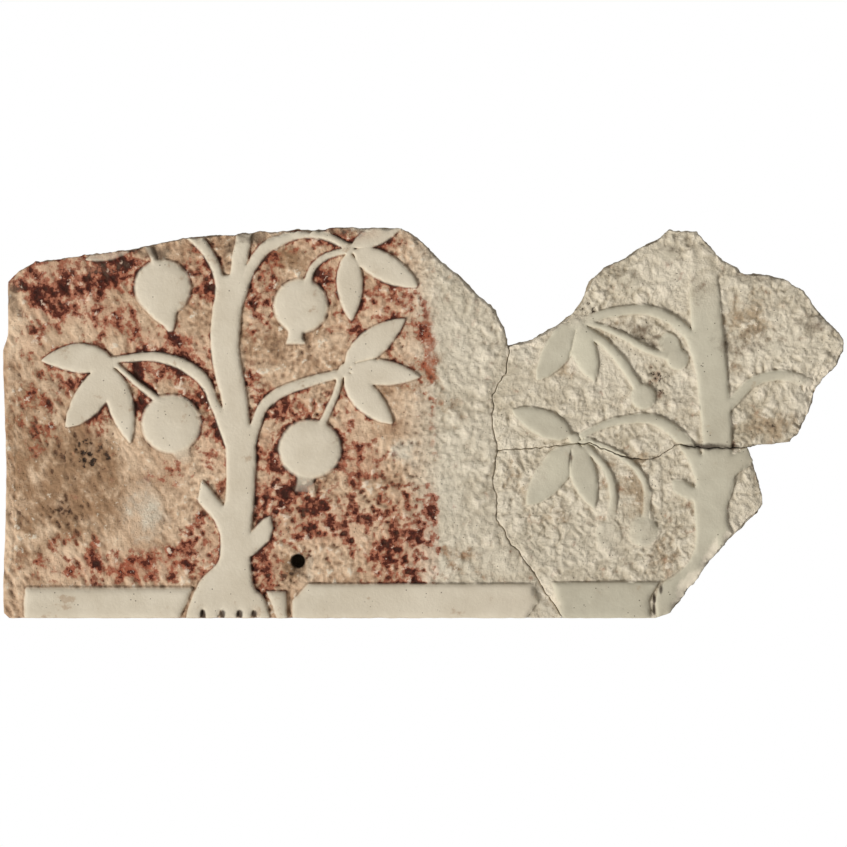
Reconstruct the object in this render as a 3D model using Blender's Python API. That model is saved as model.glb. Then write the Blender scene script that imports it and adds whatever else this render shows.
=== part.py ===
"""Fragment of a marble wall tile with fruit trees in low relief, in three joined pieces.

The tile was carved by cutting the ground back around the figures, so every leaf, branch and
fruit stands at the height of the old face. The model is made in the same way: one broken slab,
a cutter that takes the ground away except under the figures, and two cracks that part it.
"""
import math
import random

import bmesh
import bpy
from mathutils import Vector
from mathutils.geometry import interpolate_bezier

for leftover in list(bpy.data.objects):
    bpy.data.objects.remove(leftover, do_unlink=True)

# Driving dimensions, in metres
TILE_LENGTH = 0.750
THICKNESS = 0.038
RELIEF_DEPTH = 0.0042
BORDER_BAND = 0.0295
ROUNDED_EDGE = 0.0013
STEM_EDGE = 0.0010
BORDER_EDGE = 0.0009
WORN_EDGE = 0.0040
JOINT_GAP = 0.0003
CLAMP_HOLE_DIAMETER = 0.012
CLAMP_HOLE_DEPTH = 0.016
POUR_CHANNEL_WIDTH = 0.005
POUR_CHANNEL_DEPTH = 0.0035
MARGIN_GROOVE_WIDTH = 0.0035
MARGIN_GROOVE_DEPTH = 0.0016
ROOT_NOTCH_WIDTH = 0.0065
ROOT_NOTCH_DEPTH = 0.0050
ROOT_NOTCH_DRAFT = 0.0012
CREVICE_WIDTH = 0.0009
CREVICE_DEPTH = 0.0030
BREAK_ROUGHNESS = 0.0011
BREAK_STEP = 0.013
FRONT_CHIPPING = 0.0030
BACK_CHIPPING = 0.0045
CLEARANCE = 0.010
ROOT_DEPTH = 0.001
CORNER_REACH = 1.6
SMALLEST_EDGE = 0.000005

# The carving is drawn in hundredths of the tile's length, from its lower left corner
SHARE = TILE_LENGTH / 100
TILE_MIDDLE = (50.0, 23.15)
GROUND = THICKNESS - RELIEF_DEPTH

# Heights of the carving above the ground
TRUNK_RISE = RELIEF_DEPTH * 0.93
BRANCH_RISE = RELIEF_DEPTH * 0.91
STUB_RISE = RELIEF_DEPTH * 0.90
STEM_RISE = RELIEF_DEPTH * 0.85
LEAF_RISE = RELIEF_DEPTH * 0.88
BUD_RISE = RELIEF_DEPTH * 0.902
FRUIT_RISE = RELIEF_DEPTH * 0.98
WORN_RISE = RELIEF_DEPTH * 0.45
BORDER_RISE = RELIEF_DEPTH + CLEARANCE / 2

# Share by which the heights of neighbours differ, as hand carving leaves them
HEIGHT_STEP = 0.006

FRUIT_SIDES = 22
SMALL_FRUIT_SIDES = 14
SMALL_FRUIT = 2.5
LEAF_STATIONS = 8
SPAN_STEPS = 2
HOLE_SIDES = 20
SLENDER_LIMIT = 0.3
SLAB_SEED = 4
WEAR_SEED = 11

# How far up the broken edges bulge most, and where they start to be chipped, as shares of the thickness
BELLY_LEVEL = 0.38
SHOULDER_LEVEL = 0.74

# Outline of the whole fragment: sawn at the left and below, broken everywhere else
LEFT_SAWN = [(0.7, 0.0), (0.1, 0.6), (0.0, 2.2), (0.0, 31.9), (0.6, 33.6), (0.6, 40.0)]
TOP_BREAK = [
    (1.8, 41.4), (3.9, 42.4), (9.7, 43.25), (17.1, 44.35), (21.1, 45.1), (29.1, 45.9),
    (35.2, 46.25), (41.4, 46.45), (47.4, 46.4), (49.3, 45.3), (51.6, 42.9), (54.4, 40.7),
    (56.2, 38.7), (58.6, 36.5), (59.6, 34.7), (60.1, 32.5), (62.8, 33.0), (65.6, 34.6),
    (67.5, 36.0), (69.0, 38.0), (69.9, 40.1), (71.6, 41.7), (74.1, 42.8), (75.8, 44.1),
    (77.9, 45.1), (79.4, 46.3), (82.5, 46.0), (83.9, 44.4), (85.7, 42.6), (88.1, 41.1),
    (90.7, 40.9), (92.9, 40.4), (95.2, 38.9), (96.3, 37.3), (98.7, 34.9), (100.0, 33.2),
]
RIGHT_BREAK = [
    (100.0, 32.0), (99.3, 30.2), (97.8, 28.6), (96.6, 27.2), (95.9, 24.7), (94.7, 22.0),
    (93.4, 20.9), (90.5, 20.7), (88.6, 20.3), (89.4, 17.6), (90.45, 13.7), (89.5, 12.3),
    (86.4, 9.4), (85.4, 8.2), (83.6, 6.2), (81.3, 3.1), (79.4, 0.6), (77.6, 0.0),
]

# The two cracks along which the pieces were joined again
MAIN_CRACK = [
    (60.2, 36.5), (60.15, 33.5), (60.3, 31.9), (59.7, 29.2), (58.2, 26.2), (58.4, 25.1),
    (58.1, 23.9), (58.8, 20.0), (58.2, 16.4), (58.7, 14.2), (58.8, 11.7), (60.6, 8.7),
    (61.3, 7.8), (63.2, 5.4), (64.5, 3.0), (65.6, 1.7), (67.2, -1.4),
]
CROSS_CRACK = [
    (58.8, 20.0), (61.3, 20.1), (65.8, 20.5), (69.8, 20.9), (73.2, 19.3), (76.0, 18.9),
    (77.7, 19.0), (78.9, 19.9), (80.5, 20.6), (83.4, 20.2), (88.5, 20.3), (91.5, 19.9),
]

# Trunks, branches and stems: (across, up, width) at each station
LEFT_TRUNK = [
    (26.75, -1.0, 10.5), (26.8, 0.8, 9.8), (26.8, 2.3, 8.8), (26.85, 3.7, 7.3), (27.2, 5.0, 5.3),
    (27.6, 6.7, 3.85), (27.6, 9.0, 3.6), (27.9, 11.9, 3.7), (28.2, 14.3, 3.5), (28.3, 17.0, 3.55),
    (28.3, 19.8, 3.7), (27.9, 23.0, 3.1), (27.5, 26.4, 3.15), (26.9, 29.0, 3.4),
    (26.4, 32.0, 3.4), (26.55, 35.3, 3.65), (26.9, 38.4, 3.4), (27.0, 40.8, 3.3),
]
RIGHT_TRUNK = [
    (84.9, 7.0, 4.8), (84.6, 9.2, 4.6), (84.2, 11.3, 4.0), (84.15, 13.9, 4.2), (84.7, 16.5, 4.7),
    (84.9, 20.0, 3.6), (84.8, 22.8, 3.7), (84.4, 27.3, 3.8), (84.0, 31.6, 3.85),
    (83.4, 37.8, 3.8), (83.2, 42.3, 3.2), (83.0, 44.6, 2.6),
]
BRANCHES = {
    "left crown shoot": [
        (22.3, 45.7, 1.8), (23.3, 44.8, 1.6), (24.2, 43.7, 1.35), (24.9, 42.6, 1.3),
        (25.5, 41.2, 1.2), (25.9, 39.6, 1.2), (26.6, 37.8, 1.2),
    ],
    "leader": [
        (27.6, 39.0, 1.6), (27.9, 41.1, 1.7), (28.2, 42.9, 2.0), (28.5, 44.3, 1.95),
        (28.9, 47.0, 1.8),
    ],
    "right crown arc": [
        (28.0, 37.2, 1.2), (28.6, 39.0, 1.2), (29.3, 41.3, 1.3), (31.0, 43.8, 1.5),
        (32.7, 44.8, 1.5), (35.0, 45.6, 1.1), (37.2, 45.6, 1.0), (39.0, 45.2, 1.05),
        (41.0, 44.1, 0.9),
    ],
    "left arm": [
        (13.3, 30.7, 0.8), (15.8, 31.0, 1.0), (18.0, 31.1, 1.25), (20.3, 30.6, 1.35),
        (22.2, 29.7, 1.5), (23.7, 28.5, 1.5), (24.6, 27.1, 1.2), (25.1, 25.6, 1.25),
        (25.8, 24.3, 1.4), (26.5, 22.4, 1.5), (27.4, 20.0, 1.5),
    ],
    "right arm": [
        (28.9, 17.6, 1.2), (29.6, 21.2, 1.3), (30.2, 23.3, 1.35), (30.8, 24.9, 1.3),
        (32.0, 26.2, 1.4), (33.7, 27.2, 1.35), (35.7, 27.9, 1.3), (37.7, 28.5, 1.25),
        (40.7, 29.2, 1.0),
    ],
    "far crown arc": [
        (68.2, 34.8, 1.1), (70.9, 36.0, 1.2), (73.5, 36.5, 1.25), (76.2, 36.7, 1.3),
        (78.5, 36.0, 1.35), (80.4, 34.8, 1.4), (81.7, 33.3, 1.4), (82.5, 31.1, 1.4),
        (83.4, 27.7, 1.4),
    ],
    "far right arm": [
        (85.0, 24.0, 1.4), (85.9, 24.9, 1.4), (87.2, 26.2, 1.35), (88.7, 27.8, 1.3),
        (90.4, 28.6, 1.35), (92.3, 28.9, 1.4), (94.1, 28.6, 1.3), (96.2, 27.8, 1.1),
    ],
    "far right stub": [(85.3, 16.4, 2.2), (87.0, 18.4, 2.3), (89.6, 19.6, 2.6)],
    "far low arc": [
        (68.5, 21.6, 0.8), (71.2, 22.9, 1.0), (73.9, 23.6, 1.15), (77.0, 23.7, 1.35),
        (79.4, 22.5, 1.6), (81.2, 20.7, 1.8), (82.4, 18.6, 1.9), (83.6, 15.6, 2.0),
    ],
}
STEMS = {
    "upper left": [(17.0, 44.6, 0.7), (17.9, 42.9, 0.8), (18.5, 41.2, 0.8)],
    "upper right": [
        (41.0, 43.7, 0.8), (38.6, 43.1, 0.85), (37.2, 42.1, 0.9), (36.5, 40.9, 0.95),
        (36.2, 39.0, 1.0),
    ],
    "lower left": [(13.2, 30.4, 0.7), (15.7, 28.1, 0.75), (17.5, 26.7, 0.85), (19.4, 25.2, 0.9)],
    "lower right": [
        (40.2, 29.0, 0.8), (39.6, 26.7, 0.85), (38.8, 24.9, 0.9), (38.1, 23.4, 0.95),
        (37.5, 22.0, 1.0),
    ],
    "far upper near": [
        (68.6, 34.7, 0.9), (71.2, 32.9, 1.15), (73.2, 30.9, 1.25), (74.5, 29.0, 1.2),
        (75.8, 26.8, 1.2),
    ],
    "far upper far": [
        (68.9, 35.3, 0.7), (71.8, 34.4, 0.8), (74.2, 33.3, 0.95), (76.2, 32.1, 0.95),
        (79.0, 31.0, 0.9),
    ],
    "far lower near": [
        (68.6, 21.2, 0.8), (71.4, 18.1, 0.95), (72.4, 15.8, 1.05), (72.5, 13.3, 1.1),
        (72.0, 10.5, 1.2),
    ],
    "far lower far": [
        (69.0, 21.4, 0.7), (73.3, 19.4, 0.8), (75.4, 17.6, 0.9), (76.6, 15.1, 0.95),
        (76.3, 11.5, 1.0),
    ],
}

# What is left of the calyces: (across, up, width) at each station, and the share of the relief
CALYCES = {
    "upper left": ([(19.0, 37.2, 4.2), (19.4, 36.0, 3.0), (19.8, 35.0, 1.6), (20.0, 34.0, 0.7)], 0.86),
    "upper right": ([(35.0, 35.4, 3.2), (34.85, 34.3, 2.1), (34.8, 33.6, 1.85), (34.8, 32.5, 2.6)], 0.86),
    "lower left": ([(20.9, 20.6, 3.0), (21.4, 19.5, 2.1), (21.9, 18.2, 1.2)], 0.45),
    "lower right": ([(36.1, 17.6, 2.9), (36.0, 16.4, 2.1), (35.9, 14.9, 2.7)], 0.55),
    "far upper": ([(78.2, 33.6, 1.7), (78.8, 33.0, 2.5), (79.4, 32.2, 2.6), (80.0, 31.2, 1.8)], 0.72),
}

# Stubs of broken twigs and the spreading foot of the right tree, corner by corner
STUBS = {
    "left stub": [
        (23.6, 16.6), (23.1, 13.9), (25.0, 11.8), (25.9, 9.8), (27.6, 10.6), (27.7, 13.2),
        (26.3, 13.5), (24.5, 15.7),
    ],
    "right stub": [
        (28.7, 9.3), (29.4, 10.2), (31.0, 11.9), (31.9, 12.3), (32.2, 10.8), (31.8, 9.3),
        (29.8, 7.5), (28.6, 6.9),
    ],
    "far left stub": [
        (79.4, 16.6), (81.0, 16.5), (82.9, 15.1), (83.6, 13.9), (82.4, 13.7), (80.6, 14.4),
        (79.5, 15.1),
    ],
    "far foot": [
        (83.2, 10.4), (82.25, 9.4), (82.2, 8.4), (81.7, 7.2), (80.9, 6.1), (79.8, 5.2), (78.6, 4.5),
        (77.8, 3.5), (77.45, 2.3), (77.6, 0.5), (77.8, -1.2), (86.0, -1.2), (88.5, 8.0), (86.4, 10.6),
    ],
}

# Leaves: foot, tip, width, sideways bow and how blunt the tip is
LEAVES = [
    ((41.1, 43.6), (41.4, 35.3), 3.25, 0.00, 0.55),
    ((41.6, 43.7), (49.4, 39.4), 3.45, 0.01, 0.75),
    ((41.4, 44.1), (48.0, 46.9), 2.5, 0.02, 0.40),
    ((13.3, 30.4), (4.6, 30.6), 3.65, -0.05, 0.40),
    ((13.0, 30.2), (7.5, 22.7), 3.8, 0.03, 0.75),
    ((12.9, 29.9), (15.2, 20.8), 3.2, 0.00, 0.55),
    ((40.6, 29.8), (47.9, 35.6), 3.5, 0.02, 0.50),
    ((41.0, 29.5), (49.6, 28.7), 3.2, 0.01, 0.50),
    ((40.7, 29.2), (46.4, 23.1), 3.4, -0.03, 0.65),
    ((15.8, 44.4), (9.7, 42.6), 1.7, 0.02, 0.40),
    ((67.9, 35.4), (63.4, 28.3), 3.5, 0.03, 0.70),
    ((68.0, 35.0), (70.4, 28.1), 3.2, -0.01, 0.65),
    ((67.6, 21.7), (60.5, 24.8), 3.3, 0.00, 0.80),
    ((67.8, 20.9), (62.2, 13.4), 3.9, 0.02, 0.85),
    ((67.9, 21.0), (70.3, 13.0), 3.3, -0.01, 0.65),
]

# Where the leaves of a cluster meet, and the clefts between leaves that touch
BUDS = [(13.1, 30.4), (41.1, 43.9), (40.6, 29.5), (68.0, 35.0), (67.9, 21.3)]
BUD_SIZE = 0.75
CREVICES = [
    [(41.8, 30.3), (44.5, 31.0)], [(68.1, 34.3), (67.7, 32.4), (67.2, 30.6)],
    [(67.6, 20.2), (67.3, 18.6), (67.4, 17.0)],
]

# Fruits and what is left of worn ones: middle, half breadth, half height
FRUITS = [
    (19.0, 39.3, 3.57, 3.52), (35.4, 37.1, 3.46, 3.42), (20.0, 23.1, 3.73, 3.70),
    (36.5, 20.1, 3.94, 3.74), (76.1, 26.3, 1.65, 1.62), (80.15, 30.8, 1.45, 1.42),
    (72.0, 10.0, 1.70, 1.85), (76.1, 10.3, 1.95, 1.90),
]
WORN_SPOTS = [
    (17.1, 12.4, 2.7, 3.8), (74.5, 40.0, 1.80, 1.80), (78.8, 43.3, 1.75, 1.25),
    (91.5, 32.0, 1.35, 1.40),
]

# Raised border below, in the stretches that are left: each end at its foot, middle and top,
# and the share of the full band that the stretch is high
BORDER_TOP = BORDER_BAND / SHARE
BORDER_RUNS = [
    ((2.6, 2.5, 2.7), (21.0, 21.9, 22.6), 0.93),
    ((32.5, 32.0, 31.3), (33.9, 33.8, 33.7), 0.83),
    ((34.3, 34.3, 36.3), (62.2, 63.7, 62.9), 1.05),
    ((66.3, 65.8, 65.2), (77.0, 76.8, 78.0), 1.10),
]
NOTCH_SHAPE = [(-0.5, -1.2), (0.5, -1.2), (0.5, -0.45), (0.0, 0.65), (-0.5, -0.45)]
ROOT_NOTCHES = [(23.8, 0.8), (25.9, 0.8), (28.1, 0.7), (29.85, 0.8)]
CLAMP_HOLE = (35.1, 6.8)
POUR_CHANNEL = [(35.1, 6.8), (34.4, 4.4), (34.1, 2.2), (34.2, -1.5)]
MARGIN_GROOVE = [(1.6, 32.6), (1.5, 24.0), (1.4, 14.0), (1.2, 2.0)]


def place(across, up):
    """Turn a place on the drawing into metres from the middle of the back."""
    return Vector(((across - TILE_MIDDLE[0]) * SHARE, (up - TILE_MIDDLE[1]) * SHARE))


def smooth_run(points, steps=SPAN_STEPS):
    """Points along a smooth curve through the given ones, which are tuples of any length."""
    last = len(points) - 1
    run = []
    for index in range(last):
        before, start = points[max(index - 1, 0)], points[index]
        end, after = points[index + 1], points[min(index + 2, last)]
        for step in range(steps):
            t = step / steps
            run.append(tuple(
                0.5 * (2 * b + (c - a) * t + (2 * a - 5 * b + 4 * c - d) * t * t
                       + (3 * b - a - 3 * c + d) * t ** 3)
                for a, b, c, d in zip(before, start, end, after)
            ))
    run.append(points[last])
    return run


def rails(centres, halves):
    """The ring around a run of middle points with a half breadth at each of them."""
    left, right = [], []
    last = len(centres) - 1
    for index, (centre, half) in enumerate(zip(centres, halves)):
        along = centres[min(index + 1, last)] - centres[max(index - 1, 0)]
        side = Vector((-along.y, along.x)).normalized() * half
        left.append(centre + side)
        right.append(centre - side)
    return left + right[::-1]


def limb_ring(stations, steps=SPAN_STEPS):
    """The outline of a trunk, branch or stem."""
    run = smooth_run(stations, steps)
    return rails([place(across, up) for across, up, _ in run], [width * SHARE / 2 for *_, width in run])


def leaf_ring(foot, tip, width, bow, blunt):
    """The outline of a leaf: narrow at its foot, fullest past the middle, with a soft tip."""
    start, end = place(*foot), place(*tip)
    chord = end - start
    side = Vector((-chord.y, chord.x)) * bow * 4 / 3
    spine = interpolate_bezier(
        start, start + chord / 3 + side, start + chord * 2 / 3 + side, end, LEAF_STATIONS
    )
    halves = []
    for index in range(LEAF_STATIONS):
        t = index / (LEAF_STATIONS - 1)
        fullness = math.sin(math.pi * t ** 0.85) ** (1.0 - 0.55 * blunt)
        halves.append(max(fullness, 0.07) * width * SHARE / 2)
    return rails([Vector(point[:2]) for point in spine], halves)


def round_ring(across, up, half_breadth, half_height):
    """The outline of a fruit."""
    middle = place(across, up)
    sides = FRUIT_SIDES if half_breadth > SMALL_FRUIT else SMALL_FRUIT_SIDES
    turns = [2 * math.pi * index / sides for index in range(sides)]
    return [
        middle + Vector((math.cos(turn) * half_breadth, math.sin(turn) * half_height)) * SHARE
        for turn in turns
    ]


def worn_ring(across, up, half_breadth, half_height, chance):
    """The outline of a figure that has worn or broken away, rounder or more ragged by chance."""
    middle = place(across, up)
    return [
        middle + (point - middle) * chance.uniform(0.82, 1.0)
        for point in round_ring(across, up, half_breadth, half_height)
    ]


def border_ring(left_end, right_end, height):
    """The outline of one stretch of the border, running off the tile below."""
    levels = [0.0, BORDER_TOP * height / 2, BORDER_TOP * height]
    left_side = [place(left_end[0], -1.0)] + [place(*corner) for corner in zip(left_end, levels)]
    right_side = [place(right_end[0], -1.0)] + [place(*corner) for corner in zip(right_end, levels)]
    return left_side + right_side[::-1]


def signed_area(ring):
    """Area of a ring, negative where it runs clockwise."""
    pairs = zip(ring, ring[1:] + ring[:1])
    return sum(a.x * b.y - b.x * a.y for a, b in pairs) / 2


def drawn_in(ring, distances):
    """The ring with each corner moved inwards by its own distance."""
    turn = 1 if signed_area(ring) > 0 else -1
    moved = []
    for index, point in enumerate(ring):
        back = (point - ring[index - 1]).normalized()
        ahead = (ring[(index + 1) % len(ring)] - point).normalized()
        inwards = Vector((-back.y - ahead.y, back.x + ahead.x)) * turn
        mitre = min(2 / max(inwards.length, 1.0), CORNER_REACH)
        moved.append(point + inwards.normalized() * distances[index] * mitre)
    return moved


def solid_from_layers(name, layers):
    """A closed solid whose outline changes from one depth to the next: (ring, depth) pairs."""
    mesh = bpy.data.meshes.new(name)
    shape = bmesh.new()
    ring, depth = layers[0]
    corners = [shape.verts.new((point.x, -depth, point.y)) for point in ring]
    cap = shape.faces.new(corners)
    for ring, depth in layers[1:]:
        grown = bmesh.ops.extrude_discrete_faces(shape, faces=[cap])
        cap = grown["faces"][0]
        for corner, point in zip(cap.verts, ring):
            corner.co = (point.x, -depth, point.y)
    shape.faces.new(corners[::-1])
    shape.normal_update()
    bmesh.ops.triangulate(shape, faces=shape.faces)
    bmesh.ops.recalc_face_normals(shape, faces=shape.faces)
    if shape.calc_volume(signed=True) < 0:
        bmesh.ops.reverse_faces(shape, faces=shape.faces)
    shape.to_mesh(mesh)
    shape.free()
    solid = bpy.data.objects.new(name, mesh)
    bpy.context.collection.objects.link(solid)
    return solid


def rounding(ring, inset, slender):
    """How far each corner moves in, held back where a slender figure runs thin."""
    if not slender:
        return [inset] * len(ring)
    breadths = [(point - other).length for point, other in zip(ring, ring[::-1])]
    return [min(inset, breadth * SLENDER_LIMIT) for breadth in breadths]


def raised(name, ring, rise, profile, slender=True):
    """A figure standing on the ground, given as (inset, share of the rise) from foot to top."""
    layers = [(ring, GROUND - ROOT_DEPTH)]
    for inset, share in profile:
        layers.append((drawn_in(ring, rounding(ring, inset, slender)), GROUND + rise * share))
    return solid_from_layers(name, layers)


def steep_profile(edge=ROUNDED_EDGE):
    """Steep sides with a rounded upper edge, as on branches and leaves."""
    return [(0.25 * edge, 0.55), (edge, 1.0)]


def domed_profile(radius):
    """The gently swelling face of a fruit."""
    return [(0.05 * radius, 0.50), (0.16 * radius, 0.80), (0.45 * radius, 1.0)]


def carved_figures():
    """Every figure that stands above the ground."""
    figures = [
        raised("left trunk", limb_ring(LEFT_TRUNK), TRUNK_RISE, steep_profile()),
        raised("right trunk", limb_ring(RIGHT_TRUNK), TRUNK_RISE * (1 + HEIGHT_STEP), steep_profile()),
    ]
    for number, (name, stations) in enumerate(BRANCHES.items()):
        rise = BRANCH_RISE * (1 + HEIGHT_STEP * (number % 3))
        figures.append(raised(name, limb_ring(stations), rise, steep_profile()))
    for number, (name, stations) in enumerate(STEMS.items()):
        rise = STEM_RISE * (1 + HEIGHT_STEP * (number % 3))
        figures.append(raised(name + " stem", limb_ring(stations, 2), rise, steep_profile(STEM_EDGE)))
    for name, (stations, share) in CALYCES.items():
        ring = limb_ring(stations, 2)
        figures.append(raised(name + " calyx", ring, RELIEF_DEPTH * share, steep_profile()))
    for name, corners in STUBS.items():
        ring = [place(*corner) for corner in corners]
        figures.append(raised(name, ring, STUB_RISE, steep_profile(), slender=False))
    for bud in BUDS:
        ring = round_ring(*bud, BUD_SIZE, BUD_SIZE)
        figures.append(raised("bud", ring, BUD_RISE, steep_profile(STEM_EDGE), slender=False))
    for number, leaf in enumerate(LEAVES):
        rise = LEAF_RISE * (1 + HEIGHT_STEP * (number % 4))
        figures.append(raised("leaf", leaf_ring(*leaf), rise, steep_profile()))
    for fruit in FRUITS:
        dome = domed_profile(fruit[2] * SHARE)
        figures.append(raised("fruit", round_ring(*fruit), FRUIT_RISE, dome, slender=False))
    chance = random.Random(WEAR_SEED)
    for spot in WORN_SPOTS:
        ring = worn_ring(*spot, chance)
        figures.append(raised("worn spot", ring, WORN_RISE, steep_profile(WORN_EDGE), False))
    for run in BORDER_RUNS:
        figures.append(raised("border", border_ring(*run), BORDER_RISE, steep_profile(BORDER_EDGE)))
    return figures


def broken_slab():
    """The slab before carving, with sawn edges left and below and rough breaks elsewhere."""
    chance = random.Random(SLAB_SEED)
    outline = [(place(*corner), 0.0) for corner in LEFT_SAWN]
    broken = [place(*corner) for corner in [*TOP_BREAK, *RIGHT_BREAK]]
    for start, end in zip(broken, broken[1:]):
        run = end - start
        pieces = max(1, round(run.length / BREAK_STEP))
        side = Vector((-run.y, run.x)).normalized()
        for index in range(pieces):
            jag = chance.uniform(-1, 1) * BREAK_ROUGHNESS if index else 0.0
            outline.append((start + run * index / pieces + side * jag, 1.0))
    outline.append((broken[-1], 0.0))
    ring = [point for point, _ in outline]
    front = [chipped * chance.uniform(0.15, 1.0) * FRONT_CHIPPING for _, chipped in outline]
    middle = [chipped * chance.uniform(0.0, 0.25) * FRONT_CHIPPING for _, chipped in outline]
    back = [chipped * chance.uniform(0.1, 1.0) * BACK_CHIPPING for _, chipped in outline]
    layers = [
        (drawn_in(ring, back), 0.0),
        (ring, THICKNESS * BELLY_LEVEL),
        (drawn_in(ring, middle), THICKNESS * SHOULDER_LEVEL),
        (drawn_in(ring, front), THICKNESS),
    ]
    return solid_from_layers("slab", layers)


def crack(name, corners):
    """A thin blade through the whole thickness along a crack."""
    run = [place(*corner) for corner in corners]
    ring = rails(run, [JOINT_GAP / 2] * len(run))
    return solid_from_layers(name, [(ring, -CLEARANCE), (ring, THICKNESS + CLEARANCE)])


def ground_cutter(figures):
    """What the carver took away: everything above the ground except the figures."""
    low, high = place(-3, -4), place(103, 50)
    ring = [low, Vector((high.x, low.y)), high, Vector((low.x, high.y))]
    cutter = solid_from_layers("ground cutter", [(ring, GROUND), (ring, THICKNESS + CLEARANCE)])
    return combined(cutter, figures, "DIFFERENCE")


def combined(solid, tools, operation):
    """The solid after a Boolean with several tools, which are used up."""
    group = bpy.data.collections.new(solid.name + " tools")
    bpy.context.scene.collection.children.link(group)
    for tool in tools:
        group.objects.link(tool)
    boolean = solid.modifiers.new("carve", "BOOLEAN")
    boolean.operation = operation
    boolean.solver = "EXACT"
    boolean.operand_type = "COLLECTION"
    boolean.collection = group
    bpy.context.view_layer.update()
    evaluated = solid.evaluated_get(bpy.context.evaluated_depsgraph_get())
    mesh = bpy.data.meshes.new_from_object(evaluated)
    solid.modifiers.clear()
    solid.data = mesh
    for tool in list(tools):
        bpy.data.objects.remove(tool, do_unlink=True)
    bpy.data.collections.remove(group)
    return solid


def sunk(name, ring, floor, draft):
    """A cutter open to the front, narrower at its floor by the draft on every side."""
    above = THICKNESS + CLEARANCE
    return solid_from_layers(name, [(drawn_in(ring, [draft] * len(ring)), floor), (ring, above)])


def tool_cutters():
    """The clamp hole with its pour channel, the margin line, the clefts and the drilled notches."""
    middle = place(*CLAMP_HOLE)
    turns = [2 * math.pi * index / HOLE_SIDES for index in range(HOLE_SIDES)]
    hole = [middle + Vector((math.cos(turn), math.sin(turn))) * CLAMP_HOLE_DIAMETER / 2 for turn in turns]
    cutters = [sunk("clamp hole", hole, GROUND - CLAMP_HOLE_DEPTH, 0.0)]
    channel = [place(*corner) for corner in smooth_run(POUR_CHANNEL)]
    ring = rails(channel, [POUR_CHANNEL_WIDTH / 2] * len(channel))
    floor = GROUND - POUR_CHANNEL_DEPTH
    cutters.append(sunk("pour channel", ring, floor, POUR_CHANNEL_WIDTH / 5))
    line = [place(*corner) for corner in MARGIN_GROOVE]
    ring = rails(line, [MARGIN_GROOVE_WIDTH / 2] * len(line))
    cutters.append(sunk("margin line", ring, GROUND - MARGIN_GROOVE_DEPTH, MARGIN_GROOVE_WIDTH / 4))
    for corners in CREVICES:
        run = [place(*corner) for corner in corners]
        ring = rails(run, [CREVICE_WIDTH / 2] * len(run))
        cutters.append(sunk("crevice", ring, THICKNESS - CREVICE_DEPTH, CREVICE_WIDTH / 5))
    for notch in ROOT_NOTCHES:
        ring = [place(*notch) + Vector(corner) * ROOT_NOTCH_WIDTH for corner in NOTCH_SHAPE]
        floor = THICKNESS - ROOT_NOTCH_DEPTH
        cutters.append(sunk("root notch", ring, floor, ROOT_NOTCH_DRAFT))
    return cutters


def stone(name, colour, roughness):
    """Plain marble in the overall colour of a piece."""
    material = bpy.data.materials.new(name)
    material.use_nodes = True
    shader = material.node_tree.nodes["Principled BSDF"]
    shader.inputs["Base Color"].default_value = (*colour, 1.0)
    shader.inputs["Roughness"].default_value = roughness
    shader.inputs["Metallic"].default_value = 0.0
    return material


def loose_bodies(mesh):
    """The separate bodies of a mesh, largest first, each as a set of vertex numbers."""
    shape = bmesh.new()
    shape.from_mesh(mesh)
    unseen = set(shape.verts)
    bodies = []
    while unseen:
        body, edge = set(), [unseen.pop()]
        while edge:
            vert = edge.pop()
            body.add(vert.index)
            for link in vert.link_edges:
                other = link.other_vert(vert)
                if other in unseen:
                    unseen.remove(other)
                    edge.append(other)
        bodies.append(body)
    shape.free()
    return sorted(bodies, key=len, reverse=True)


def separate_piece(source, body, name, material):
    """One body of the cracked slab as an object of its own."""
    shape = bmesh.new()
    shape.from_mesh(source.data)
    strangers = [vert for vert in shape.verts if vert.index not in body]
    bmesh.ops.delete(shape, geom=strangers, context="VERTS")
    bmesh.ops.dissolve_degenerate(shape, dist=SMALLEST_EDGE, edges=shape.edges)
    bmesh.ops.triangulate(shape, faces=shape.faces)
    mesh = bpy.data.meshes.new(name)
    shape.to_mesh(mesh)
    shape.free()
    mesh.materials.clear()
    mesh.materials.append(material)
    piece = bpy.data.objects.new(name, mesh)
    bpy.context.collection.objects.link(piece)
    return piece


def build():
    """Carve the slab, crack it and name its three pieces."""
    slab = broken_slab()
    cutters = [ground_cutter(carved_figures()), *tool_cutters()]
    cracks = [crack("main crack", MAIN_CRACK), crack("cross crack", CROSS_CRACK)]
    combined(slab, cutters + cracks, "DIFFERENCE")
    bodies = loose_bodies(slab.data)[:3]
    middles = []
    for body in bodies:
        points = [slab.data.vertices[index].co for index in body]
        middles.append((sum(p.x for p in points) / len(points), sum(p.z for p in points) / len(points)))
    left = min(range(3), key=lambda index: middles[index][0])
    upper = max((index for index in range(3) if index != left), key=lambda index: middles[index][1])
    lower = 3 - left - upper
    warm = stone("warm painted marble", (0.50, 0.39, 0.27), 0.82)
    grey = stone("grey weathered marble", (0.46, 0.40, 0.29), 0.85)
    separate_piece(slab, bodies[left], "left_fragment", warm)
    separate_piece(slab, bodies[upper], "upper_right_fragment", grey)
    separate_piece(slab, bodies[lower], "lower_right_fragment", grey)
    bpy.data.objects.remove(slab, do_unlink=True)


build()
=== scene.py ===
# %% [markdown]
# # A painted marble tile with fruit trees in low relief
# The real object is a slab of marble, sawn flat, carved with two fruit trees and painted red
# between them. It broke, and three of its pieces were joined again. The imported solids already
# have the outline, the thickness and every figure, so they are loaded first and never changed.

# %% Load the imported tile
import itertools
import math

import bmesh
import bpy
import numpy as np
from mathutils import Euler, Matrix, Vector
from mathutils.kdtree import KDTree


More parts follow.
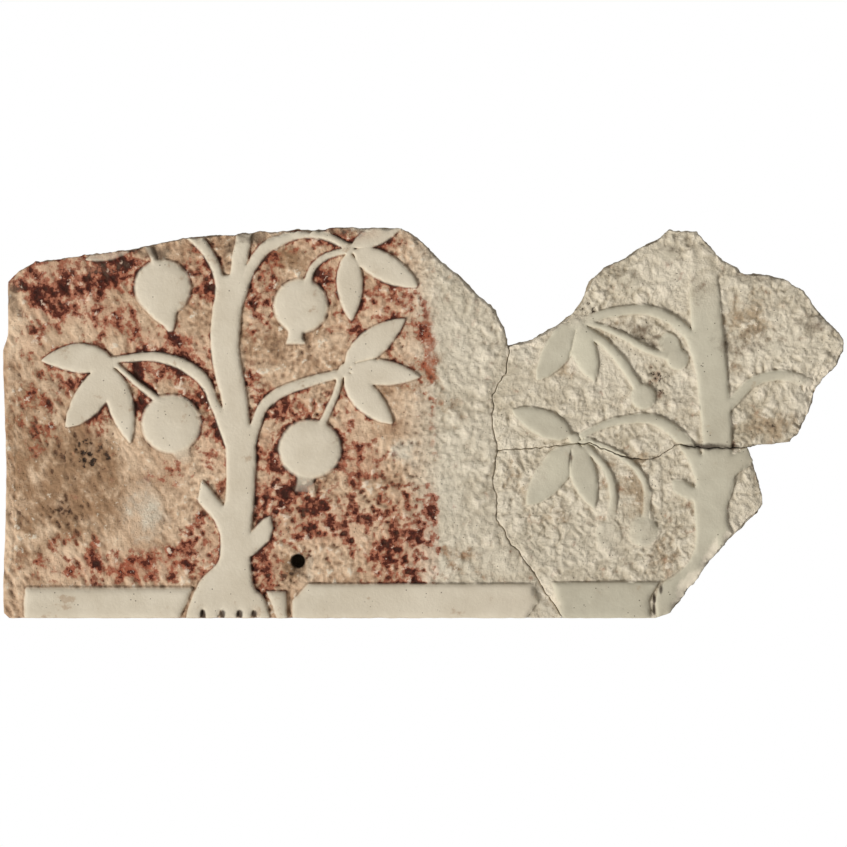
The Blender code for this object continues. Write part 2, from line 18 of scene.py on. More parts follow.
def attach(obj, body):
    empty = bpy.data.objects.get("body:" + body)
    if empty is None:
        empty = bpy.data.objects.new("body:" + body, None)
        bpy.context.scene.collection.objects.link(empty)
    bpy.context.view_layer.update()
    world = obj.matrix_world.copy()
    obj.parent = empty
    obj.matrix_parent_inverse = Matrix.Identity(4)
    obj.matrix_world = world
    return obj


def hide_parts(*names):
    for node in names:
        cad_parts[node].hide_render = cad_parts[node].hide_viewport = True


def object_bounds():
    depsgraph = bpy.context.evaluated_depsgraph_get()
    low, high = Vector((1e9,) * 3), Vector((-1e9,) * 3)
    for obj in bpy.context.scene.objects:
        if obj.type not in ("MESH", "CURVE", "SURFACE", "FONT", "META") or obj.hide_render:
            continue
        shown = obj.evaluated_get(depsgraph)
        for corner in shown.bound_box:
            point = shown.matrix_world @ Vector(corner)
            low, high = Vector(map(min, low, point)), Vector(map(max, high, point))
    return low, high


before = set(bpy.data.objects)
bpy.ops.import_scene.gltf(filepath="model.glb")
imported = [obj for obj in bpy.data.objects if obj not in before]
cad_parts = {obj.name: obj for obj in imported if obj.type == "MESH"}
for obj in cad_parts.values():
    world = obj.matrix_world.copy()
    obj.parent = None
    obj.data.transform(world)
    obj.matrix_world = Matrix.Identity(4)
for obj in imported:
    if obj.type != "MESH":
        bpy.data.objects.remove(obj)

CAD_LOW, CAD_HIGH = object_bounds()
LENGTH = CAD_HIGH.x - CAD_LOW.x
THICKNESS = CAD_HIGH.y - CAD_LOW.y
print(f"tile {LENGTH * 1000:.1f} mm long and {THICKNESS * 1000:.1f} mm thick")
print("pieces:", sorted(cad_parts))

# %% [markdown]
# ## Places on the tile
# A carver would mark the slab with a grid before cutting it. Here every place is given in
# hundredths of the tile's length, across from its left end and up from its lower edge, which is
# how the solids were drawn too. So a stain or a chip can be put beside the right leaf.

# %% Places
MM = 0.001
SHARE = LENGTH / 100
LEFT_END = CAD_LOW.x
LOWER_EDGE = CAD_LOW.z
FRONT = -THICKNESS
RELIEF = 0.0042
GROUND = FRONT + RELIEF


def place(across, up):
    """A place on the face in metres, from hundredths of the tile's length."""
    return np.array([LEFT_END + across * SHARE, LOWER_EDGE + up * SHARE])


print("middle of the face:", place(50, 23.15).round(4))

# %% [markdown]
# ## Chance that stays the same
# Pick marks, breaks and stains are irregular, but the tile has to come out the same each time.
# Soft noise gives both: a whole-numbered cell always gets the same random number, and the
# places between the cells are blended. The cells are turned out of line with the tile, so
# that their corners never show as a pattern. Working on all points of a piece at once with
# numpy is much faster than asking for one point after another. Both sides of a crack read the
# same noise at the same place, so they go on fitting each other.

# %% Steady noise
CELL_MIX = np.array([127.1, 311.7, 74.7])
SEED_MIX = 19.19
SCATTER = 43758.5453
SEED_SHIFT = 0.37
NOISE_GAIN = 1.8
NOISE_TURN = np.array(Euler((0.5, 0.7, 0.3)).to_matrix())


def chance(cells, seed):
    """A steady random number from 0 to 1 for each cell."""
    mixed = cells @ CELL_MIX + seed * SEED_MIX
    return np.modf(np.abs(np.sin(mixed)) * SCATTER)[0]


def wander(points, size, seed):
    """Soft noise from about -1 to 1 that swings over the given size."""
    spots = points @ NOISE_TURN / size + SEED_SHIFT * seed
    corner = np.floor(spots)
    part = spots - corner
    fade = part ** 3 * (part * (part * 6 - 15) + 10)
    total = np.zeros(len(points))
    for step in itertools.product((0, 1), repeat=3):
        lean = np.stack([chance(corner + step, seed + axis) * 2 - 1 for axis in range(3)], axis=1)
        weight = np.prod(np.where(step, fade, 1 - fade), axis=1)
        total += weight * np.sum(lean * (part - step), axis=1)
    return total * NOISE_GAIN


def rough(points, size, seed, layers=3):
    """Noise with finer and weaker noise on it, as on a break."""
    return sum(wander(points, size / 2 ** n, seed + 7 * n) / 2 ** n for n in range(layers))


def crumbs(points, size, seed, layers=3):
    """Rounded lumps with sharp clefts between them: 0 in a cleft and about 1 on a lump."""
    return sum(np.abs(wander(points, size / 2 ** n, seed + 7 * n)) / 2 ** n for n in range(layers))


def smooth_step(values, low, high):
    """0 below low, 1 above high and a soft slope between."""
    part = np.clip((values - low) / (high - low), 0, 1)
    return part * part * (3 - 2 * part)


print("noise ready, for example", wander(np.array([[0.1, 0, 0.1]]), 30 * MM, seed=1).round(3))

# %% [markdown]
# ## Pick marks
# The ground between the figures was taken down with a pointed pick, which leaves a small pit at
# each blow. Blows that come from one side leave long pits that all slant the same way. One pit
# is put in every cell of a grid that is turned and stretched along the blows, and its place and
# depth inside the cell are left to chance.

# %% Pits of the pick
PIT_REACH = 0.8
PIT_STEEPNESS = 1.1


def pits(points, size, seed, slant, stretch):
    """Depth of the pick marks, 0 on the face and up to 1 in the deepest pits."""
    turn = math.radians(slant)
    along = points @ np.array([math.cos(turn), 0, math.sin(turn)])
    across = points @ np.array([-math.sin(turn), 0, math.cos(turn)])
    flat = np.stack([along / stretch, np.zeros(len(points)), across], axis=1) / size
    cell = np.floor(flat)
    deepest = np.zeros(len(points))
    for step in itertools.product((-1, 0, 1), (0,), (-1, 0, 1)):
        home = cell + step
        shift = [chance(home, seed), np.zeros(len(points)), chance(home, seed + 1)]
        middle = home + np.stack(shift, axis=1)
        gap = np.linalg.norm(flat - middle, axis=1)
        depth = chance(home, seed + 2) * np.clip(1 - gap / PIT_REACH, 0, 1) ** PIT_STEEPNESS
        deepest = np.maximum(deepest, depth)
    return deepest


print("pick ready")

# %% [markdown]
# ## A closer net of faces
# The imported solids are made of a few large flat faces, which can't hold a pick mark. Cutting
# the same faces by many parallel planes keeps every carved outline exactly and gives the
# relief something to move. A plane that meets the whole mesh is slow, so each plane halves its
# strip and the next planes only see their own half. The net is finest on the ground, where the
# marks are. At the end the points of the front are smoothed a few times, which rounds the carved
# corners as wear does.

# %% Cutting into a net
CUT_MARGIN = 1e-7


def parts_of(faces):
    """Faces with their edges and corners, each once, as bmesh operators want them."""
    edges = {edge for face in faces for edge in face.edges}
    corners = {vert for face in faces for vert in face.verts}
    return [*faces, *edges, *corners]


def comb(shape, faces, axis, low, high, strips):
    """Cut faces into even strips along one axis, halving them each time."""
    if strips < 2 or not faces:
        return faces
    half = strips // 2
    middle = low + (high - low) * half / strips
    along = Vector([1.0 if index == axis else 0.0 for index in range(3)])
    cut = bmesh.ops.bisect_plane(
        shape, geom=parts_of(faces), dist=CUT_MARGIN, plane_co=along * middle, plane_no=along
    )
    faces = [part for part in cut["geom"] if isinstance(part, bmesh.types.BMFace)]
    below = [face for face in faces if face.calc_center_bounds()[axis] < middle]
    above = [face for face in faces if face.calc_center_bounds()[axis] >= middle]
    lower = comb(shape, below, axis, low, middle, half)
    return lower + comb(shape, above, axis, middle, high, strips - half)


def netted(shape, faces, spacing, axes):
    """Cut faces into a net of cells of the given size."""
    for axis in axes:
        values = [vert.co[axis] for face in faces for vert in face.verts]
        low, high = min(values), max(values)
        faces = comb(shape, faces, axis, low, high, round((high - low) / spacing))


GROUND_SPACING = {
    "left_fragment": 1.3 * MM,
    "upper_right_fragment": 0.9 * MM,
    "lower_right_fragment": 0.85 * MM,
}
FIGURE_SPACING = 2.5 * MM
SIDE_SPACING = 2.6 * MM
BACK_SPACING = 10 * MM
FRONT_DEPTH = GROUND + 3.8 * MM
LEVEL_MARGIN = 0.1 * MM
WELD = 2e-6
FLAT_ANGLE = math.radians(0.3)
SMALLEST_EDGE = 0.1 * MM
SOFTENING = 5
SOFTENING_STEP = 0.5


def on_front(vert):
    """Whether a point and all the faces around it belong to the carved front."""
    return all(corner.co.y < FRONT_DEPTH for face in vert.link_faces for corner in face.verts)


def soften(shape):
    """Round the carved edges of the face as wear does, and leave the tile's own rim alone."""
    inner = [vert for vert in shape.verts if on_front(vert)]
    every_way = {"use_axis_x": True, "use_axis_y": True, "use_axis_z": True}
    for _ in range(SOFTENING):
        bmesh.ops.smooth_vert(shape, verts=inner, factor=SOFTENING_STEP, **every_way)


def fine_copy(node):
    """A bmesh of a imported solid, cut finely on the ground and more coarsely elsewhere."""
    shape = bmesh.new()
    shape.from_mesh(node.data)
    bmesh.ops.remove_doubles(shape, verts=shape.verts, dist=WELD)
    bmesh.ops.dissolve_limit(
        shape, angle_limit=FLAT_ANGLE, verts=shape.verts, edges=shape.edges
    )
    kinds = {"ground": [], "figures": [], "back": [], "sides": []}
    for face in shape.faces:
        depths = [vert.co.y for vert in face.verts]
        if max(abs(depth - GROUND) for depth in depths) < LEVEL_MARGIN:
            kinds["ground"].append(face)
        elif max(depths) < FRONT_DEPTH:
            kinds["figures"].append(face)
        elif min(depths) > -LEVEL_MARGIN:
            kinds["back"].append(face)
        else:
            kinds["sides"].append(face)
    netted(shape, kinds["ground"], GROUND_SPACING[node.name], (0, 2))
    netted(shape, kinds["figures"], FIGURE_SPACING, (0, 2))
    netted(shape, kinds["back"], BACK_SPACING, (0, 2))
    netted(shape, kinds["sides"], SIDE_SPACING, (0, 2, 1))
    bmesh.ops.dissolve_degenerate(shape, dist=SMALLEST_EDGE, edges=shape.edges)
    bmesh.ops.triangulate(shape, faces=shape.faces)
    soften(shape)
    return shape


print("ground net in mm:", {name: round(size / MM, 2) for name, size in GROUND_SPACING.items()})

# %% [markdown]
# ## Where the stone is worn, stained and painted
# The red was brushed on the ground, stopped at a straight line in the middle of the tile, and
# wore off unevenly. Rather than paint a picture, each region is a soft round spot with a
# strength, and all spots of a kind are blended into one value per point. The materials then
# break these values up with fine noise.

# %% Regions by soft spots: across, up, half breadth, half height, strength
PAINT_SPOTS = [
    (6.8, 39.3, 5.2, 4.2, 1.45), (13.0, 41.3, 4.2, 2.6, 1.20), (12.0, 35.6, 4.0, 2.6, 0.80),
    (3.5, 33.2, 2.4, 2.6, 0.55), (23.8, 40.6, 2.0, 3.4, 0.90), (20.0, 31.9, 5.2, 2.6, 1.25),
    (17.0, 29.2, 3.0, 1.6, 1.35), (22.6, 27.2, 3.0, 2.2, 0.80), (25.3, 20.6, 2.2, 4.8, 0.72),
    (9.0, 30.0, 6.0, 3.6, 0.45), (4.2, 24.5, 2.6, 6.0, 0.42), (11.5, 25.6, 1.8, 4.0, 0.55),
    (17.0, 25.6, 1.6, 2.2, 0.75), (19.8, 17.4, 3.2, 1.8, 0.50), (23.5, 8.8, 2.6, 3.2, 0.90),
    (12.5, 6.2, 8.5, 2.0, 0.80), (20.0, 6.4, 3.0, 2.0, 0.85), (9.0, 8.6, 4.0, 1.6, 0.42),
    (30.5, 41.6, 2.4, 3.0, 0.62), (37.3, 45.0, 4.2, 1.4, 0.85), (38.4, 40.6, 2.2, 3.0, 0.85),
    (45.6, 37.6, 4.4, 3.0, 0.78), (44.8, 44.6, 3.4, 1.4, 0.80), (41.2, 34.6, 2.6, 2.2, 0.62),
    (48.2, 32.2, 2.6, 4.0, 0.50), (30.4, 36.6, 1.6, 3.2, 0.72), (29.6, 26.0, 1.5, 4.0, 0.55),
    (34.4, 25.0, 4.6, 2.2, 0.78), (31.6, 19.6, 2.0, 4.0, 0.88), (41.2, 24.0, 2.4, 3.4, 0.66),
    (33.0, 14.8, 3.2, 2.8, 1.35), (42.6, 18.8, 3.4, 2.8, 1.05), (39.0, 11.4, 8.0, 3.6, 0.85),
    (47.6, 8.6, 5.6, 5.4, 1.00), (31.0, 6.6, 1.8, 3.6, 1.25), (50.8, 12.0, 1.3, 3.4, 1.00),
    (49.4, 25.6, 2.0, 4.0, 0.35), (46.6, 13.0, 4.0, 3.0, 0.70), (34.0, 3.0, 2.0, 2.4, 0.30),
]
RUST_SPOTS = [
    (8.6, 5.7, 4.0, 1.0, 0.45), (14.4, 6.0, 4.0, 1.4, 0.70), (19.4, 6.6, 2.4, 1.8, 0.60),
    (50.7, 31.6, 0.9, 4.0, 0.75), (51.0, 23.0, 0.7, 3.0, 0.40), (45.4, 6.0, 5.0, 1.2, 0.35),
    (22.4, 9.6, 1.4, 2.4, 0.35), (31.4, 18.6, 0.9, 3.4, 0.45), (36.2, 23.4, 3.0, 1.2, 0.35),
]
BARE_SPOTS = [
    (16.9, 12.4, 3.6, 4.4, 0.95), (34.6, 31.6, 6.0, 2.8, 0.72), (22.8, 35.6, 2.0, 2.0, 0.65),
    (47.6, 21.6, 3.0, 3.0, 0.70), (8.6, 15.6, 6.0, 5.6, 0.55), (43.6, 13.6, 1.8, 1.2, 0.60),
    (36.0, 1.6, 2.6, 2.6, 0.80), (1.0, 36.8, 1.8, 3.6, 0.90),
]
TAN_SPOTS = [
    (3.6, 18.0, 3.4, 14.0, 0.75), (9.0, 16.0, 7.0, 8.0, 0.85), (33.0, 43.0, 5.0, 2.6, 0.65),
    (33.4, 33.0, 6.0, 3.4, 0.35), (44.0, 26.6, 3.4, 3.6, 0.45), (48.4, 30.0, 4.0, 6.0, 0.55),
    (54.0, 35.0, 3.2, 7.0, 0.15), (54.6, 7.4, 5.4, 3.6, 0.38), (52.6, 25.6, 2.6, 4.0, 0.28),
    (75.6, 14.6, 2.6, 3.2, 0.60), (88.6, 35.4, 4.2, 3.2, 0.55), (34.3, 6.0, 1.2, 1.8, 1.00),
    (70.6, 16.4, 3.0, 4.0, 0.35), (66.2, 29.6, 2.2, 2.0, 0.60), (74.6, 18.4, 4.2, 1.6, 0.50),
    (92.6, 22.8, 4.4, 2.2, 0.60), (66.0, 13.2, 3.0, 2.4, 0.50), (78.6, 7.6, 3.0, 2.6, 0.45),
    (36.0, 7.0, 3.0, 2.2, 0.55), (73.0, 35.0, 3.0, 1.6, 0.45), (61.4, 16.0, 2.0, 4.0, 0.45),
    (86.8, 30.0, 2.0, 3.0, 0.30),
]
PALE_SPOTS = [
    (16.9, 12.6, 3.0, 3.6, 0.60), (55.6, 30.6, 3.4, 5.0, 0.55), (53.0, 14.0, 2.2, 3.0, 0.60),
    (64.6, 2.6, 1.6, 3.0, 0.80), (62.0, 32.0, 2.0, 2.0, 0.75), (70.0, 27.6, 3.0, 2.6, 0.55),
    (48.0, 19.8, 2.6, 2.0, 0.60), (57.0, 22.6, 2.0, 3.0, 0.50), (80.4, 27.6, 2.0, 2.4, 0.60),
    (86.0, 7.2, 3.0, 4.0, 0.85), (95.6, 26.6, 2.2, 3.4, 0.75), (96.8, 31.4, 2.4, 2.4, 0.60),
    (44.0, 46.6, 3.2, 1.4, 0.30), (88.0, 12.4, 2.0, 2.0, 0.55), (80.6, 42.0, 4.0, 2.6, 0.45),
    (69.1, 31.3, 2.2, 2.6, 0.90), (65.7, 17.9, 2.6, 2.6, 0.60), (66.0, 8.0, 5.0, 3.0, 0.50),
    (82.4, 3.4, 3.0, 3.0, 0.75), (54.6, 34.0, 3.4, 6.0, 0.40), (36.6, 6.0, 0.7, 2.4, 0.60),
]
# Grime spots; the one just below the clamp hole darkens its channel as painted shade.
GRIME_SPOTS = [
    (1.2, 36.6, 1.6, 3.4, 0.60), (18.0, 43.4, 3.0, 1.0, 0.80), (29.6, 45.2, 2.2, 1.0, 0.85),
    (27.0, 44.0, 1.2, 2.2, 0.55), (41.0, 46.0, 2.4, 0.8, 0.55), (10.0, 41.6, 5.0, 1.0, 0.60),
    (97.4, 35.0, 4.4, 1.6, 0.60), (91.0, 40.6, 6.0, 1.4, 0.60), (79.4, 44.6, 3.0, 1.6, 0.55),
    (74.0, 41.0, 2.6, 1.4, 0.50), (75.4, 34.6, 3.2, 1.6, 0.55), (88.0, 32.6, 5.0, 2.6, 0.45),
    (77.4, 32.6, 1.2, 1.4, 0.75), (69.8, 37.0, 2.0, 2.0, 0.45), (35.2, 5.4, 1.6, 1.6, 0.60),
    (83.6, 39.4, 2.2, 3.6, 0.35), (35.0, 32.0, 5.0, 2.2, 0.35), (80.0, 41.0, 8.0, 4.0, 0.22),
    (92.0, 34.0, 6.0, 5.0, 0.22),
]
SPOT_FALL = 0.9
SPOT_FLATNESS = 1.4


def spotted(flat, spots):
    """The strongest of several soft round spots at each point of the face."""
    strongest = np.zeros(len(flat))
    for across, up, breadth, height, strength in spots:
        gap = (flat - place(across, up)) / (np.array([breadth, height]) * SHARE)
        fall = np.exp(-SPOT_FALL * np.sum(gap ** 2, axis=1) ** SPOT_FLATNESS)
        strongest = np.maximum(strongest, strength * fall)
    return strongest


print(len(PAINT_SPOTS), "painted spots,", len(TAN_SPOTS), "stained spots")

# %% [markdown]
# ## How far the face stands in or out
# The ground is lowest beside the figures, where the carver worked deepest, and swells between
# them. It carries rounded lumps and the marks of the pick, which slant steeply near the left
# end. The figures are rubbed smooth and only dip a little, though more on the weathered right
# half. All of it moves straight in or out, so that every outline stays where it was carved.

# %% Relief of the ground and the figures
DEEP_PITS = [
    (10.2, 19.6, 3.4, 2.6, 1.0), (6.4, 13.0, 2.6, 2.2, 0.8), (6.4, 27.0, 1.6, 2.0, 0.5),
    (74.0, 33.4, 4.4, 1.0, 0.8), (77.6, 28.4, 2.4, 2.0, 0.8), (68.6, 37.4, 2.4, 2.4, 0.6),
    (79.6, 44.6, 2.0, 1.4, 0.6), (90.4, 23.0, 3.4, 1.8, 0.5),
]
WORN = [
    (83.0, 43.6, 3.2, 5.4, 1.0), (17.1, 12.4, 3.2, 4.4, 1.0), (74.5, 40.0, 2.0, 2.0, 0.7),
    (78.8, 43.3, 2.0, 1.6, 0.6), (91.5, 32.0, 1.6, 1.6, 0.6), (68.0, 36.2, 2.0, 1.4, 0.8),
    (21.9, 18.0, 1.8, 1.6, 0.6), (36.0, 15.0, 2.0, 1.4, 0.5), (13.0, 43.2, 3.6, 0.9, 0.5),
    (72.6, 9.6, 2.6, 3.6, 0.85), (77.4, 9.0, 2.2, 2.6, 0.45), (95.0, 28.2, 2.0, 1.6, 0.6),
    (42.6, 46.0, 2.4, 1.0, 0.4), (76.0, 13.6, 1.4, 2.4, 0.35), (62.6, 17.6, 1.8, 2.4, 0.35),
]
SWELL = 0.45 * MM
SWELL_SPAN = 26 * MM
FOOT_DEPTH = 0.45 * MM
FOOT_REACH = 11 * MM
SWELL_SET = 0.2 * MM
# Each of these pairs holds a number for the painted left and one for the weathered right.
CRUMB_SIZE = (9.0 * MM, 12.0 * MM)
CRUMB_DEPTH = (1.9 * MM, 2.5 * MM)
CRUMB_MIDDLE = (0.62, 0.66)
PIT_DEPTH = (2.3 * MM, 1.1 * MM)
PIT_MIDDLE = 0.25
DEEP_PIT_DEPTH = 2.4 * MM
DEEP_PIT_ROUNDNESS = 0.7
STEEP_PICK = {"size": 4.4 * MM, "seed": 31, "slant": -62, "stretch": 2.8}
MIXED_PICK = {"size": 4.2 * MM, "seed": 47, "slant": 25, "stretch": 1.2}
DEEP_PICK = {"size": 3.0 * MM, "seed": 71, "slant": -50, "stretch": 1.2}
SLANT_END = place(24, 0)[0]
SLANT_FADE = 50 * MM
SLANT_CALM = 0.35
UNEVEN = 0.55
UNEVEN_SPAN = 55 * MM
PAINT_END = place(51.9, 0)[0]
GROUND_FADE = 30 * MM
HOLLOW_SPAN = 3.3 * MM
HOLLOW_LIMIT = 1.6
FIGURE_SWING = 0.12 * MM
FIGURE_SPAN = 18 * MM
FIGURE_GRAIN = 0.07 * MM
FIGURE_GRAIN_SPAN = 5 * MM
FIGURE_SET = 0.10 * MM
FIGURE_WEATHER = 1.6
WEATHER_FADE = (50 * MM, 90 * MM)


def ground_swell(points, from_wall):
    """The ground's slow swelling, lowest beside the figures."""
    foot = FOOT_DEPTH * (1 - np.exp(-from_wall / FOOT_REACH))
    return SWELL * wander(points, SWELL_SPAN, seed=3) + foot - SWELL_SET


def ground_marks(points, flat):
    """Lumps and pick marks on the ground, as a height about 0."""
    slanting = smooth_step(SLANT_END - flat[:, 0], 0, SLANT_FADE)
    unpainted = smooth_step(flat[:, 0] - PAINT_END, -GROUND_FADE, GROUND_FADE)
    steep = pits(points, **STEEP_PICK)
    mixed = pits(points, **MIXED_PICK)
    picked = mixed + (steep - mixed) * slanting
    uneven = 1 + UNEVEN * wander(points, UNEVEN_SPAN, seed=19)
    near = CRUMB_DEPTH[0] * (crumbs(points, CRUMB_SIZE[0], seed=11) - CRUMB_MIDDLE[0])
    near *= 1 - SLANT_CALM * slanting
    far = CRUMB_DEPTH[1] * (crumbs(points, CRUMB_SIZE[1], seed=23, layers=4) - CRUMB_MIDDLE[1])
    pick_depth = PIT_DEPTH[0] + (PIT_DEPTH[1] - PIT_DEPTH[0]) * unpainted
    marks = near + (far - near) * unpainted - pick_depth * (picked - PIT_MIDDLE)
    deep = spotted(flat, DEEP_PITS) * pits(points, **DEEP_PICK) ** DEEP_PIT_ROUNDNESS
    return uneven * marks - DEEP_PIT_DEPTH * deep


def figure_relief(points, flat):
    """Height of the rubbed figures against their top, never above it."""
    weathered = 1 + FIGURE_WEATHER * smooth_step(flat[:, 0] - PAINT_END, *WEATHER_FADE)
    worn = FIGURE_SWING * rough(points, FIGURE_SPAN, seed=5)
    worn += FIGURE_GRAIN * rough(points, FIGURE_GRAIN_SPAN, seed=8, layers=2)
    return np.minimum((worn - FIGURE_SET) * weathered, 0)


print(len(DEEP_PITS), "deep places,", len(WORN), "worn places")

# %% [markdown]
# ## Broken and sawn edges
# Marble breaks with a crystalline, scalloped surface, and its front corner crumbles. The sawn
# edges at the left and below stayed nearly straight, though the left one bows in a little. So
# the noise at the sides is strong on a break and weak on a sawn edge, and the face drops where
# it comes close to a broken edge, most where a chip came off. The clamp hole keeps its shape,
# but its channel and the groove by the left edge are partly filled.

# %% Edges
HAND_SWING = 0.30 * MM
HAND_SPAN = 10 * MM
BREAK_SWING = 1.15 * MM
BREAK_SPAN = 13 * MM
BREAK_GRAIN = 1.05 * MM
BREAK_GRAIN_SPAN = 5 * MM
SWING_SEEDS = ((0, 81), (2, 93))
CRUMBLE_REACH = 7.5 * MM
CRUMBLE_DROP = 1.6 * MM
CRUMBLE_STEEPNESS = 1.4
CRUMBLE_MIDDLE = 0.55
CRUMBLE_GRAIN = 0.45
CRUMBLE_GRAIN_SPAN = 9 * MM
CHIP_DROP = 5.0 * MM
CHIP_REACH = 12.0 * MM
SAWN = 0.15
LEFT_SAWN = (4 * MM, 16 * MM)
LOWER_SAWN = (4 * MM, 14 * MM)
SAW_BOW = 2.8 * MM
BOW_LOW = place(0, 3)[1]
BOW_HIGH = place(0, 30)[1]
BOW_REACH = 14 * MM
BOW_ROUNDNESS = 1.3
CLAMP_HOLE = place(35.1, 6.8)
HOLE_REACH = 9 * MM
FILLED = [(1.4, 18.0, 2.4, 22.0, 0.85), (34.3, 2.6, 3.0, 3.0, 0.60)]
FILLING = 0.72
# Dark spots: in the clamp hole, its channel and the notches at the foot of the left trunk they are
# painted shade; the others mark cracks and fine dark lines in the stone.
DARK_SPOTS = [
    (35.1, 6.8, 0.85, 0.85, 1.4),
    (23.8, 0.5, 0.40, 0.60, 1.0), (26.1, 0.5, 0.40, 0.60, 0.9), (28.2, 0.5, 0.40, 0.60, 1.0),
    (29.9, 0.5, 0.40, 0.60, 0.8), (78.2, 3.4, 0.26, 0.70, 0.7), (77.4, 2.3, 0.22, 0.80, 0.8),
    (77.4, 1.1, 0.22, 0.80, 0.8), (62.9, 3.4, 0.35, 1.20, 0.4), (33.9, 6.2, 0.80, 0.90, 0.4),
    (67.5, 18.8, 0.22, 1.30, 0.5), (84.2, 20.4, 3.60, 0.50, 0.70), (87.8, 17.4, 0.30, 1.10, 0.5),
    (86.8, 20.4, 1.20, 0.30, 0.5),
]
EDGE_MARGIN = 0.5 * MM
CHIPPED = [
    (85.6, 7.4, 3.4, 3.4, 0.8), (82.0, 3.0, 2.6, 2.6, 1.0), (96.4, 27.6, 2.2, 3.0, 1.0),
    (95.6, 23.6, 1.6, 2.6, 0.8), (60.4, 34.0, 1.4, 2.0, 0.5), (1.0, 39.0, 1.6, 3.0, 0.6),
    (88.6, 11.6, 1.8, 1.6, 0.7), (65.0, 2.6, 1.4, 3.0, 0.5), (99.0, 31.0, 1.6, 2.0, 0.8),
]


def nearest(flat, targets):
    """Distance from each point of the face to the closest of the targets."""
    tree = KDTree(len(targets))
    for index, (across, up) in enumerate(targets):
        tree.insert((across, 0, up), index)
    tree.balance()
    return np.array([tree.find((across, 0, up))[2] for across, up in flat])


def brokenness(flat):
    """Nearly 0 at the two sawn edges and 1 away from them."""
    left = smooth_step(flat[:, 0] - LEFT_END, *LEFT_SAWN)
    below = smooth_step(flat[:, 1] - LOWER_EDGE, *LOWER_SAWN)
    return SAWN + (1 - SAWN) * left * below


def saw_bow(flat):
    """How far the sawn left edge bows in between its two ends."""
    along = np.clip((flat[:, 1] - BOW_LOW) / (BOW_HIGH - BOW_LOW), 0, 1)
    reach = np.clip(1 - (flat[:, 0] - LEFT_END) / BOW_REACH, 0, 1)
    return SAW_BOW * np.sin(math.pi * along) ** BOW_ROUNDNESS * reach


print("a break swings", BREAK_SWING / MM, "mm and the sawn edge bows", SAW_BOW / MM, "mm")

# %% [markdown]
# ## Dressing a piece
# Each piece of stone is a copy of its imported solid. The copy is cut into a net, its points are
# moved, and every point keeps what its material needs to know: how high it stands, how deep it
# lies in a pit, and how much paint and stain there is. The solid is then hidden, and the copy
# stands for it.

# %% Points of a piece
WALL_HEIGHTS = (0.08, 0.70)
FIGURE_HEIGHTS = (0.1, 0.7)
WORN_AWAY = 0.4
WEAR_DEPTH = 0.8
HOLE_FLOOR = GROUND + 0.2 * MM
BACK_SWING = 0.7 * MM
BACK_SPAN = 30 * MM
WALL_REACH = 1.9 * MM
BRUSH_RAGGED = 1.5 * MM
BRUSH_RAGGED_SPAN = 7 * MM
BRUSH_FADE = (-0.5 * MM, 0.5 * MM)
TONE_FADE = (-8 * MM, 42 * MM)


def points_of(mesh):
    """Places of all points of a mesh, one row each."""
    points = np.empty(len(mesh.vertices) * 3)
    mesh.vertices.foreach_get("co", points)
    return points.reshape(-1, 3)


